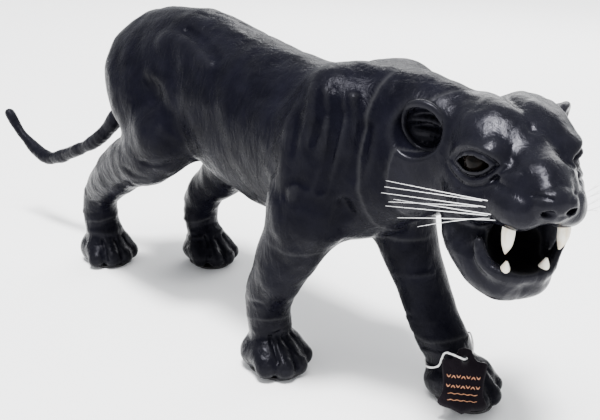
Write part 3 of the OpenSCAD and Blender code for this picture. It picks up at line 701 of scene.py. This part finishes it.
def make_skins(material):
    body_lo, body_hi = (-140, -78, 60), (258, 70, 245)
    points, faces = surface(figure_field, body_lo, body_hi, CELL["body"])

    def body_keep(p):
        away = [-head_side(p), -tail_side(p)] + [-sleeve_side(p, leg) for leg in LEG_ROWS]
        return np.maximum.reduce(away)

    def torso_keep(p):
        return np.maximum(body_keep(p), p[:, 0] - NECK_SEAM_X)

    def neck_keep(p):
        return np.maximum(body_keep(p), NECK_SEAM_X - p[:, 0])

    trunk_panels = (("body_skin", torso_keep, ("body_cover", "body_core")),
                    ("neck_skin", neck_keep, ("neck_cover",)))
    for name, keep, nodes in trunk_panels:
        skin = mesh_object(name, *kept_part(points, faces, keep, figure_field))
        dressed(thickened(skin, SKIN_T), material["body"], "body_leather", *nodes)

    for leg, paw in PAW.items():
        x, y = paw[:2]
        top = SLEEVE_TOPS[leg][0]
        lo = (min(x, top[0]) - 34, min(y, top[1]) - 34, CUFF_Z - 8)
        hi = (max(x, top[0]) + 34, max(y, top[1]) + 34, top[2] + 46)
        points, faces = surface(figure_field, lo, hi, CELL["leg"])

        def leg_keep(p, leg=leg):
            return np.maximum(sleeve_side(p, leg), -cuff_side(p, leg))

        sleeve = mesh_object(leg + "_sleeve_skin", *kept_part(points, faces, leg_keep, figure_field))
        thickened(sleeve, SKIN_T)
        dressed(sleeve, material["body"], "body_leather", leg + "_leg_sleeve", leg + "_leg_core")

        paw_lo, paw_hi = (x - 34, y - 32, -4), (x + 34, y + 32, CUFF_Z + 8)
        points, faces = surface(figure_field, paw_lo, paw_hi, CELL["paw"])

        def paw_keep(p, leg=leg):
            return cuff_side(p, leg)

        cover = mesh_object(leg + "_paw_skin", *kept_part(points, faces, paw_keep, figure_field))
        dressed(thickened(cover, SKIN_T), material["paw"], "paw_leather", leg + "_paw_cover")

    lo, hi = (-316, -56, 52), (-100, 14, 176)
    points, faces = surface(figure_field, lo, hi, CELL["tail"])
    tail = mesh_object("tail_skin", *kept_part(points, faces, tail_side, figure_field))
    dressed(thickened(tail, SKIN_T), material["body"], "body_leather", "tail_cover", "tail_wrap")

    points, faces = surface(figure_field, HEAD_AT - (66, 66, 80), HEAD_AT + (56, 62, 36), CELL["head"])
    panels = (
        ("head_skin", lambda p: np.maximum.reduce([head_side(p), -lining_side(p), -jaw_side(p)]),
         "head", "head_leather",
         ("head_cover", "head_core", "nose_pad", "right_eyelids", "left_eyelids")),
        ("jaw_skin", lambda p: np.maximum.reduce([head_side(p), -lining_side(p), jaw_side(p)]),
         "head", "head_leather",
         ("jaw_cover", "jaw_core")),
        ("mouth_skin", lambda p: np.maximum(head_side(p), lining_side(p)),
         "mouth", "mouth_leather", ("mouth_lining",)),
    )
    for name, keep, look, slot, nodes in panels:
        skin = mesh_object(name, *kept_part(points, faces, keep, figure_field))
        dressed(thickened(skin, SKIN_T), material[look], slot, *nodes)


# ---- Ears, eyes, teeth and whiskers -----------------------------------------------------------

def ear_field_for(way):
    centre = np.array(EAR_AT[way], np.float32)

    def field(p):
        q = to_head(p) - centre
        q[:, 1] *= way
        c, s = math.cos(EAR_FACING), math.sin(EAR_FACING)
        out = q[:, 0] * c + q[:, 1] * s
        across = -q[:, 0] * s + q[:, 1] * c
        tip, lean = math.sin(EAR_LEAN), math.cos(EAR_LEAN)
        up = q[:, 2] * lean + out * tip
        out = out * lean - q[:, 2] * tip
        local = np.stack([out, across, up], 1)
        r = np.sqrt((local ** 2).sum(1))
        shell = np.abs(r - EAR_R + 1.3) - 1.3
        mouth = out + EAR_R / 6 + 1.5 * np.sin(across / 5 + 1) * (up > 0)
        d = smooth_max(shell, mouth, 1.5)
        ring_r = np.sqrt(across ** 2 + up ** 2)
        angle = np.arctan2(up, across)
        thick = 1.5 + 1.1 * np.clip(np.sin(angle), 0, 1) ** 1.5
        rim = np.hypot(ring_r - EAR_R + 1.7, out + EAR_R / 6 - 0.4) - thick
        d = smooth_min(d, rim, 1.6)
        ridge = [(-9, -11, -2.5, 1.2), (-10.5, -2, 0.5, 1.8), (-9, 8, 0.8, 1.6), (-4, 13, 1.5, 1.0)]
        mid = rod_chain(local, ridge, 1)
        low = rod_chain(local, [(-9.5, -7, -8, 1.0), (-11, 2, -7, 1.3), (-8, 9, -6, 1.0)], 1)
        d = smooth_min(smooth_min(d, mid, 3), low, 3)
        return d - 0.12 * KNEAD(p) - 0.05 * FINE(p)

    return field


def make_ears(material):
    for way in (RIGHT, LEFT):
        centre = from_head(EAR_AT[way])
        points, faces = surface(ear_field_for(way), centre - 20, centre + 20, CELL["ear"])
        ear = mesh_object(side_name(way) + "_ear_skin", points, faces)
        dressed(ear, material["head"], "head_leather", side_name(way) + "_ear")


def swept(path, radii, sides=10, twist=0.0, lobes=0, depth=0.0, closed=False):
    """A tube along a path; lobes and depth give it the strands of a cord."""
    p = np.asarray(path, float)
    n = len(p)
    if closed:
        way = np.roll(p, -1, 0) - np.roll(p, 1, 0)
    else:
        way = np.gradient(p, axis=0)
    way /= np.linalg.norm(way, axis=1)[:, None]
    side = np.cross(way[0], (0.3, 0.2, 1.0))
    points = []
    for i in range(n):
        side = side - way[i] * (side @ way[i])
        side /= np.linalg.norm(side)
        up = np.cross(way[i], side)
        a = np.arange(sides) * 2 * math.pi / sides
        r = radii[i] * (1 + depth * np.cos(lobes * a + twist * i))
        points.extend(p[i] + np.outer(r * np.cos(a), side) + np.outer(r * np.sin(a), up))
    rows = n if closed else n - 1
    faces = [(i * sides + k, i * sides + (k + 1) % sides,
              (i + 1) % n * sides + (k + 1) % sides, (i + 1) % n * sides + k)
             for i in range(rows) for k in range(sides)]
    if not closed:
        faces += [tuple(range(sides))[::-1], tuple((n - 1) * sides + k for k in range(sides))]
    return np.array(points), faces


def make_eyes(material):
    """Glass eyes with a slight bulge in front."""
    for way in (RIGHT, LEFT):
        rings, turns = 28, 40
        facing = from_head((math.cos(EYE_FACING), way * math.sin(EYE_FACING), 0)) - HEAD_AT
        side = np.cross(facing, (0, 0, 1.0))
        up = np.cross(side, facing)
        points = []
        for i in range(rings + 1):
            a = math.pi * i / rings
            bulge = 1 + 0.04 * math.exp(-(a / 0.45) ** 2)
            for k in range(turns):
                t = 2 * math.pi * k / turns
                points.append(EYE[way] + EYE_R * 0.985 * (facing * math.cos(a) * bulge
                              + math.sin(a) * (side * math.cos(t) + up * math.sin(t))))
        faces = [(i * turns + k, (i + 1) * turns + k,
                  (i + 1) * turns + (k + 1) % turns, i * turns + (k + 1) % turns)
                 for i in range(rings) for k in range(turns)]
        eye = mesh_object(side_name(way) + "_glass_eye", points, faces)
        merge_close(eye)
        dressed(eye, material["eye"], "eye_glass", side_name(way) + "_eye")


def merge_close(obj, gap=0.01):
    b = bmesh.new()
    b.from_mesh(obj.data)
    bmesh.ops.remove_doubles(b, verts=b.verts, dist=gap * MM)
    bmesh.ops.recalc_face_normals(b, faces=b.faces)
    b.to_mesh(obj.data)
    b.free()


# Root in the gum, a point along the crown and the tip, in the head's frame, for the left side
FANGS = {
    "upper": [(21, 15, -27, 3.3), (21.4, 15.2, -33, 3.4), (20.6, 15.1, -39, 2.7), (18.9, 14.8, -44.5, 0.6)],
    "lower": [(17.5, 10.5, -60, 3.2), (20.5, 10.7, -55, 3.3), (22.5, 10.8, -51, 2.5),
              (23.6, 10.9, -46.8, 0.6)],
}


def make_fangs(material):
    for place, rows in FANGS.items():
        for way in (RIGHT, LEFT):
            s = curve_through(rows, 8)
            path = from_head(s[:, :3] * (1, way, 1) - (0, JAW_SIDE if place == "lower" else 0, 0))
            points, faces = swept(path, s[:, 3], 20)
            fang = mesh_object(f"{place}_{side_name(way)}_tooth", points, faces)
            dressed(fang, material["ivory"], "ivory_resin", f"{place}_{side_name(way)}_fang")


# Root in the pad and tip, for the left side
WHISKERS = [((21, 21.5, -15.5), (-30, 64, -18)), ((17, 23, -16.5), (-26, 66, -20)),
            ((19, 22.5, -19), (-28, 67, -24)), ((15, 23.5, -20), (-24, 64, -28)),
            ((22, 21, -22), (-22, 62, -26)), ((18, 22.5, -23.5), (-26, 65, -31)),
            ((20, 22, -25), (-20, 60, -36)), ((15, 23.5, -25.5), (-10, 52, -38))]


def make_whiskers(material):
    for way in (RIGHT, LEFT):
        all_points, all_faces = [], []
        for root, tip in WHISKERS:
            root, reach = np.array(root, float), np.array(tip, float) - root
            rows = [(*(root + (3, -4, 0)), 0.24), (*(root + 0.1 * reach + (1, 2, 0.3)), 0.22),
                    (*(root + 0.5 * reach + (3, 4, 1.5)), 0.18), (*(root + reach), 0.1)]
            s = curve_through(rows, 8)
            path = from_head(s[:, :3] * (1, way, 1))
            points, faces = swept(path, s[:, 3], 8)
            all_faces += [tuple(i + len(all_points) for i in f) for f in faces]
            all_points += points.tolist()
        hairs = mesh_object(side_name(way) + "_whisker_set", all_points, all_faces)
        dressed(hairs, material["whisker"], "whisker_nylon", side_name(way) + "_whiskers")


# ---- Tag and string ---------------------------------------------------------------------------

TAG_TURN, TAG_LEAN = math.radians(-52), math.radians(20)
TAG_HEIGHT, TAG_WIDTH, TAG_T, TAG_DROP, TAG_HOLE = 41, 30, 1.4, 7, 2
TAG_JOINT = next(j for j in frame["record"]["behaviour"]["joints"] if j["name"] == "tag_swing")
TAG_HOLE_AT = np.array(TAG_JOINT["pos_m"]) / MM


def from_tag(q):
    """Out of the tag's face, across it and up it, from its hole."""
    c, s, cl, sl = math.cos(TAG_TURN), math.sin(TAG_TURN), math.cos(TAG_LEAN), math.sin(TAG_LEAN)
    q = np.asarray(q, float)
    out = q[:, 0] * cl - q[:, 2] * sl
    up = q[:, 0] * sl + q[:, 2] * cl
    return np.stack([c * out - s * q[:, 1], s * out + c * q[:, 1], up], 1) + TAG_HOLE_AT


def tag_outline():
    """A small hide: a neck for the string, two shoulders, a waist, two feet and a point between them."""
    h, foot = TAG_HEIGHT, TAG_WIDTH / 2
    half = [(0, h), (3.4, h - 0.8), (5.2, h - 4), (8, h - TAG_DROP - 0.5), (foot - 1.5, h - TAG_DROP - 1.5),
            (foot - 1.5, h - TAG_DROP - 6), (foot - 2.5, h / 2), (foot - 2.5, h * 0.3), (foot, h * 0.17),
            (foot - 2, h * 0.1), (foot / 2.5, h * 0.06), (0, 0)]
    half = curve_through(half, 5)
    loop = [(y, z - h + TAG_DROP) for y, z in half] + [(-y, z - h + TAG_DROP) for y, z in half[-2:0:-1]]
    return np.array(loop)


def make_tag(material):
    """The tag's two faces and cut edge, from rings that shrink from the outline to the hole."""
    outer = tag_outline()
    n = len(outer)
    turn = np.arctan2(outer[:, 1], outer[:, 0])
    inner = TAG_HOLE * np.stack([np.cos(turn), np.sin(turn)], 1)
    rings = 22
    shares = [1 - (i / rings) for i in range(rings + 1)]
    rows = []
    for side in (1, -1):
        for share in (shares if side == 1 else shares[::-1]):
            flat = inner + share * (outer - inner)
            edge = 0.45 * max(0, (share - 0.93) / 0.07) ** 2
            curl = 0.35 * np.sin(flat[:, 0] / 6 + 1) * np.clip(-flat[:, 1] / 34, 0, 1)
            rows.append(np.column_stack([side * (TAG_T / 2 - edge * TAG_T / 2) + curl * 0.6, flat]))
    points = from_tag(np.concatenate(rows))
    count = len(rows)
    faces = [(i * n + k, i * n + (k + 1) % n, (i + 1) % count * n + (k + 1) % n, (i + 1) % count * n + k)
             for i in range(count) for k in range(n)]
    tag = mesh_object("hide_tag", points, faces, body="tag")
    merge_close(tag)
    tag.data.set_sharp_from_angle(angle=math.radians(50))
    dressed(tag, material["tag"], "tag_leather", "hang_tag")


def make_tag_ornament(material):
    """A generic ornament in copper foil: two rows of small bent leaves and two wavy lines."""
    points, faces = [], []

    def add(path, radii):
        p, f = swept(from_tag(path), radii, 6)
        faces.extend(tuple(i + len(points) for i in g) for g in f)
        points.extend(p.tolist())

    face = TAG_T / 2 + 0.12
    for z in (-11, -17):
        for k in range(7):
            y = -9 + 3 * k
            bend = 1.1 * (1 if k % 2 else -1)
            leaf = [(face, y - 1.2, z - bend), (face, y, z + bend * 0.4), (face, y + 1.2, z - bend)]
            path = curve_through(leaf, 4)
            add(path, [0.14 + 0.22 * math.sin(math.pi * i / (len(path) - 1)) for i in range(len(path))])
    for z, reach in ((-21.5, 9), (-25.5, 9)):
        path = [(face + 0.05, y, z + 0.25 * math.sin(y * 1.6)) for y in np.linspace(-reach, reach, 40)]
        add(path, [0.2] * 40)
    foil = mesh_object("tag_foil_ornament", points, faces, body="tag")
    dressed(foil, material["copper"], "tag_leather")


STRING_R = 0.65
STRING_CLEAR = 1.0
ANKLE_R = 15


def ankle_point(turn, z):
    """Beside the leaning ankle of the left front leg, at a turn in degrees and a height."""
    high, low = leg_rows("front_left")[-2:]
    x = low[0] + (high[0] - low[0]) * (z - low[2]) / (high[2] - low[2])
    reach = ANKLE_R + 1.2 + STRING_R + STRING_CLEAR
    a = math.radians(turn)
    return (x + reach * 1.3 * math.cos(a), low[1] + reach * math.sin(a), z)


def make_string(material):
    """One limp loop of twisted cotton, through the hole and round the ankle."""
    def by_tag(*rows):
        return [tuple(v) for v in from_tag(rows)]

    loop = (by_tag((0, 0, 0), (3, -3, 1.2), (2.6, -8, 2.8), (-2, -12.5, 2))
            + [ankle_point(*row) for row in ((-80, 27), (-125, 21), (180, 21), (125, 27), (75, 36), (40, 40))]
            + by_tag((-7, 5, 5), (-3, 2, 1)))
    closed = curve_through([loop[-1]] + loop + loop[:2], 16)
    closed = closed[16:16 * (len(loop) + 1)]
    radii = [STRING_R * 0.92] * len(closed)
    points, faces = swept(closed, radii, 12, twist=0.55, lobes=2, depth=0.1, closed=True)
    string = mesh_object("twisted_string", points, faces)
    dressed(string, material["string"], "white_string", "tag_string")


# ---- Materials ----------------------------------------------------------------------------------

def new_material(name):
    m = bpy.data.materials.new(name)
    m.use_nodes = True
    tree = m.node_tree
    shader = tree.nodes["Principled BSDF"]
    return m, tree, shader


def node(tree, kind, **inputs):
    n = tree.nodes.new(kind)
    for key, value in inputs.items():
        if key in n.inputs:
            n.inputs[key].default_value = value
        else:
            setattr(n, key, value)
    return n


def place_texture(tree, kind, scale, stretch=(1, 1, 1), **inputs):
    """A texture laid out in the object's own space."""
    where = node(tree, "ShaderNodeTexCoord")
    squeeze = node(tree, "ShaderNodeMapping")
    squeeze.inputs["Scale"].default_value = stretch
    tree.links.new(where.outputs["Object"], squeeze.inputs["Vector"])
    t = node(tree, kind, Scale=scale, **inputs)
    tree.links.new(squeeze.outputs["Vector"], t.inputs["Vector"])
    return t


def ramp(tree, source, stops):
    """A colour ramp of (place, colour) stops."""
    r = node(tree, "ShaderNodeValToRGB")
    while len(r.color_ramp.elements) < len(stops):
        r.color_ramp.elements.new(0.5)
    for e, (at, colour) in zip(r.color_ramp.elements, stops):
        e.position = at
        e.color = (*colour, 1) if not isinstance(colour, float) else (colour, colour, colour, 1)
    tree.links.new(source, r.inputs["Fac"])
    return r


def bump(tree, height, strength, distance, after=None):
    b = node(tree, "ShaderNodeBump", Strength=strength, Distance=distance * MM)
    tree.links.new(height, b.inputs["Height"])
    if after:
        tree.links.new(after.outputs["Normal"], b.inputs["Normal"])
    return b


def leather(name, dark, light, rough, grain=1.0, crease=1.0, coat=0.0, shine=0.4):
    """Thin glued leather: pebbled grain, fine creases, rubbed high places and uneven polish."""
    m, tree, shader = new_material(name)
    link = tree.links.new
    blotch = place_texture(tree, "ShaderNodeTexNoise", 55, Detail=5, Roughness=0.6)
    rubbed = place_texture(tree, "ShaderNodeTexNoise", 160, Detail=6, Roughness=0.65, Distortion=0.6)
    pebble = place_texture(tree, "ShaderNodeTexVoronoi", 1500, feature="DISTANCE_TO_EDGE")
    cracks = place_texture(tree, "ShaderNodeTexNoise", 420, Detail=4, Roughness=0.55, Distortion=1.6)
    creases = place_texture(tree, "ShaderNodeTexNoise", 90, stretch=(1.6, 1.6, 0.7),
                            Detail=4, Roughness=0.55, Distortion=1.1)
    shape = node(tree, "ShaderNodeNewGeometry")

    colour = ramp(tree, blotch.outputs["Fac"], [(0.3, dark), (0.75, light)])
    worn = node(tree, "ShaderNodeMix", data_type="RGBA", blend_type="ADD")
    edge = ramp(tree, shape.outputs["Pointiness"], [(0.50, 0.0), (0.58, 0.012)])
    worn.inputs["Factor"].default_value = 1.0
    link(colour.outputs["Color"], worn.inputs["A"])
    link(edge.outputs["Color"], worn.inputs["B"])
    link(worn.outputs["Result"], shader.inputs["Base Color"])

    polish = node(tree, "ShaderNodeMapRange")
    polish.inputs["From Min"].default_value, polish.inputs["From Max"].default_value = 0.3, 0.7
    polish.inputs["To Min"].default_value, polish.inputs["To Max"].default_value = rough - 0.07, rough + 0.1
    link(rubbed.outputs["Fac"], polish.inputs["Value"])
    link(polish.outputs["Result"], shader.inputs["Roughness"])

    b = bump(tree, creases.outputs["Fac"], 0.5 * crease, 1.6)
    b = bump(tree, cracks.outputs["Fac"], 0.4 * crease, 0.35, b)
    b = bump(tree, pebble.outputs["Distance"], 0.35 * grain, 0.12, b)
    link(b.outputs["Normal"], shader.inputs["Normal"])
    shader.inputs["IOR"].default_value = 1.5
    shader.inputs["Coat Weight"].default_value = coat
    shader.inputs["Coat Roughness"].default_value = 0.22
    shader.inputs["Specular IOR Level"].default_value = shine
    shader.inputs["Specular Tint"].default_value = (0.88, 0.87, 1.0, 1)
    return m


def glass_eye():
    m, tree, shader = new_material("eye_glass_look")
    blotch = place_texture(tree, "ShaderNodeTexNoise", 300, Detail=3)
    colour = ramp(tree, blotch.outputs["Fac"], [(0.35, (0.002, 0.002, 0.002)), (0.75, (0.006, 0.004, 0.003))])
    tree.links.new(colour.outputs["Color"], shader.inputs["Base Color"])
    shader.inputs["Roughness"].default_value = 0.07
    shader.inputs["Specular IOR Level"].default_value = 0.05
    return m


def ivory():
    m, tree, shader = new_material("ivory_look")
    link = tree.links.new
    streak = place_texture(tree, "ShaderNodeTexNoise", 260, stretch=(1, 1, 0.3), Detail=3)
    colour = ramp(tree, streak.outputs["Fac"], [(0.3, (0.62, 0.50, 0.33)), (0.55, (0.80, 0.76, 0.66))])
    link(colour.outputs["Color"], shader.inputs["Base Color"])
    b = bump(tree, streak.outputs["Fac"], 0.2, 0.15)
    link(b.outputs["Normal"], shader.inputs["Normal"])
    shader.inputs["Roughness"].default_value = 0.3
    shader.inputs["Subsurface Weight"].default_value = 0.15
    shader.inputs["Subsurface Radius"].default_value = (0.002, 0.0015, 0.001)
    return m


def plain_look(name, dark, light, rough, scale, metallic=0.0, depth=0.2, stretch=(1, 1, 1)):
    """Colour variation and relief for wires, bristles, paper and string."""
    m, tree, shader = new_material(name)
    link = tree.links.new
    grain = place_texture(tree, "ShaderNodeTexNoise", scale, stretch=stretch, Detail=5, Roughness=0.6)
    colour = ramp(tree, grain.outputs["Fac"], [(0.3, dark), (0.7, light)])
    link(colour.outputs["Color"], shader.inputs["Base Color"])
    spread = node(tree, "ShaderNodeMapRange")
    spread.inputs["To Min"].default_value, spread.inputs["To Max"].default_value = rough - 0.08, rough + 0.08
    link(grain.outputs["Fac"], spread.inputs["Value"])
    link(spread.outputs["Result"], shader.inputs["Roughness"])
    b = bump(tree, grain.outputs["Fac"], 0.4, depth)
    link(b.outputs["Normal"], shader.inputs["Normal"])
    shader.inputs["Metallic"].default_value = metallic
    return m


def make_materials():
    return {
        "body": leather("body_leather_look",
            (0.0015, 0.0015, 0.003), (0.004, 0.004, 0.007), 0.27, shine=0.03),
        "head": leather("head_leather_look",
            (0.002, 0.002, 0.0035), (0.005, 0.005, 0.008), 0.22, grain=0.7, crease=0.6, shine=0.09),
        "paw": leather("paw_leather_look",
            (0.0015, 0.0015, 0.003), (0.004, 0.004, 0.006), 0.21, grain=0.7, crease=1.1, shine=0.06),
        "mouth": leather("mouth_leather_look",
            (0.0015, 0.0015, 0.002), (0.004, 0.004, 0.005), 0.42, grain=0.6, crease=0.8, shine=0.04),
        "sole": leather("sole_leather_look", (0.016, 0.015, 0.015), (0.035, 0.033, 0.032), 0.62),
        "tag": leather("tag_leather_look",
            (0.003, 0.002, 0.003), (0.008, 0.006, 0.008), 0.36, crease=0.7, shine=0.04),
        "eye": glass_eye(),
        "ivory": ivory(),
        "whisker": plain_look("whisker_look", (0.80, 0.80, 0.79), (0.92, 0.92, 0.92), 0.35, 900, depth=0.05),
        "string": plain_look("string_look", (0.74, 0.73, 0.71), (0.90, 0.90, 0.89), 0.8, 2600, depth=0.1),
        "paper": plain_look("papier_mache_look",
            (0.36, 0.30, 0.21), (0.62, 0.55, 0.43), 0.85, 180, depth=0.5),
        "wire": plain_look("wire_look",
            (0.34, 0.34, 0.35), (0.56, 0.56, 0.58), 0.35, 700, metallic=1.0, depth=0.05),
        "copper": plain_look("copper_foil_look",
            (0.45, 0.20, 0.10), (0.75, 0.38, 0.22), 0.32, 600, metallic=1.0, depth=0.05),
    }


def dress_frame(material):
    """Materials for the CAD nodes that stay."""
    looks = {"armature_wire": "wire", "papier_mache": "paper", "tail_wrap": "paper", "sole_leather": "sole",
             "tag_leather": "tag", "white_string": "string"}
    for part in frame["record"]["subparts"]:
        look = looks.get(part["material_slot"])
        if look:
            obj = frame["nodes"][part["node"]]
            obj.data.materials.clear()
            obj.data.materials.append(material[look])


# ---- Stage --------------------------------------------------------------------------------------

CAMERA_AT = (0.506, -0.3765, 0.310)
CAMERA_YAW = 138.4
CAMERA_PITCH = -20.1
CAMERA_LENS = 52.2


def make_camera():
    cam = bpy.data.objects.new("camera", bpy.data.cameras.new("camera"))
    bpy.context.scene.collection.objects.link(cam)
    yaw, pitch = math.radians(CAMERA_YAW), math.radians(CAMERA_PITCH)
    look = Vector((math.cos(yaw) * math.cos(pitch), math.sin(yaw) * math.cos(pitch), math.sin(pitch)))
    cam.location = CAMERA_AT
    cam.rotation_euler = look.to_track_quat("-Z", "Y").to_euler()
    cam.data.lens = CAMERA_LENS
    cam.data.sensor_width = 36
    cam.data.clip_start = 0.01
    bpy.context.scene.camera = cam


def add_light(name, at, aim, size, power):
    data = bpy.data.lights.new(name, "AREA")
    data.shape = "RECTANGLE"
    data.size, data.size_y = size
    data.energy = power
    obj = bpy.data.objects.new(name, data)
    obj.location = at
    obj.rotation_euler = (Vector(aim) - Vector(at)).to_track_quat("-Z", "Y").to_euler()
    bpy.context.scene.collection.objects.link(obj)


SKY_WAY = (-0.16, 0.2, -1)


def make_stage():
    reach = 6
    mesh = bpy.data.meshes.new("floor")
    corners = [(-reach, -reach, 0), (reach, -reach, 0), (reach, reach, 0), (-reach, reach, 0)]
    mesh.from_pydata(corners, [], [(0, 1, 2, 3)])
    floor = bpy.data.objects.new("floor", mesh)
    bpy.context.scene.collection.objects.link(floor)
    m, _, shader = new_material("floor_look")
    shader.inputs["Base Color"].default_value = (0.93, 0.93, 0.93, 1)
    shader.inputs["Roughness"].default_value = 0.9
    shader.inputs["Specular IOR Level"].default_value = 0.1
    floor.data.materials.append(m)

    world = bpy.data.worlds.new("studio")
    world.use_nodes = True
    world.node_tree.nodes["Background"].inputs["Color"].default_value = (0.95, 0.97, 1.0, 1)
    world.node_tree.nodes["Background"].inputs["Strength"].default_value = 1.1
    bpy.context.scene.world = world
    sky = bpy.data.lights.new("soft_sky", "SUN")
    sky.energy = 8.0
    sky.angle = math.radians(12)
    sky_obj = bpy.data.objects.new("soft_sky", sky)
    sky_obj.rotation_euler = Vector(SKY_WAY).to_track_quat("-Z", "Y").to_euler()
    bpy.context.scene.collection.objects.link(sky_obj)
    add_light("back_box", (-0.6, 1.5, 1.0), (0, 0, 0.15), (1.8, 0.7), 26)
    add_light("key_box", (0.25, -0.25, 1.1), (0.12, 0, 0.15), (0.45, 0.45), 14)


def main():
    make_camera()
    make_stage()
    material = make_materials()
    dress_frame(material)
    make_skins(material)
    make_ears(material)
    make_eyes(material)
    make_fangs(material)
    make_whiskers(material)
    make_tag(material)
    make_tag_ornament(material)
    make_string(material)


main()
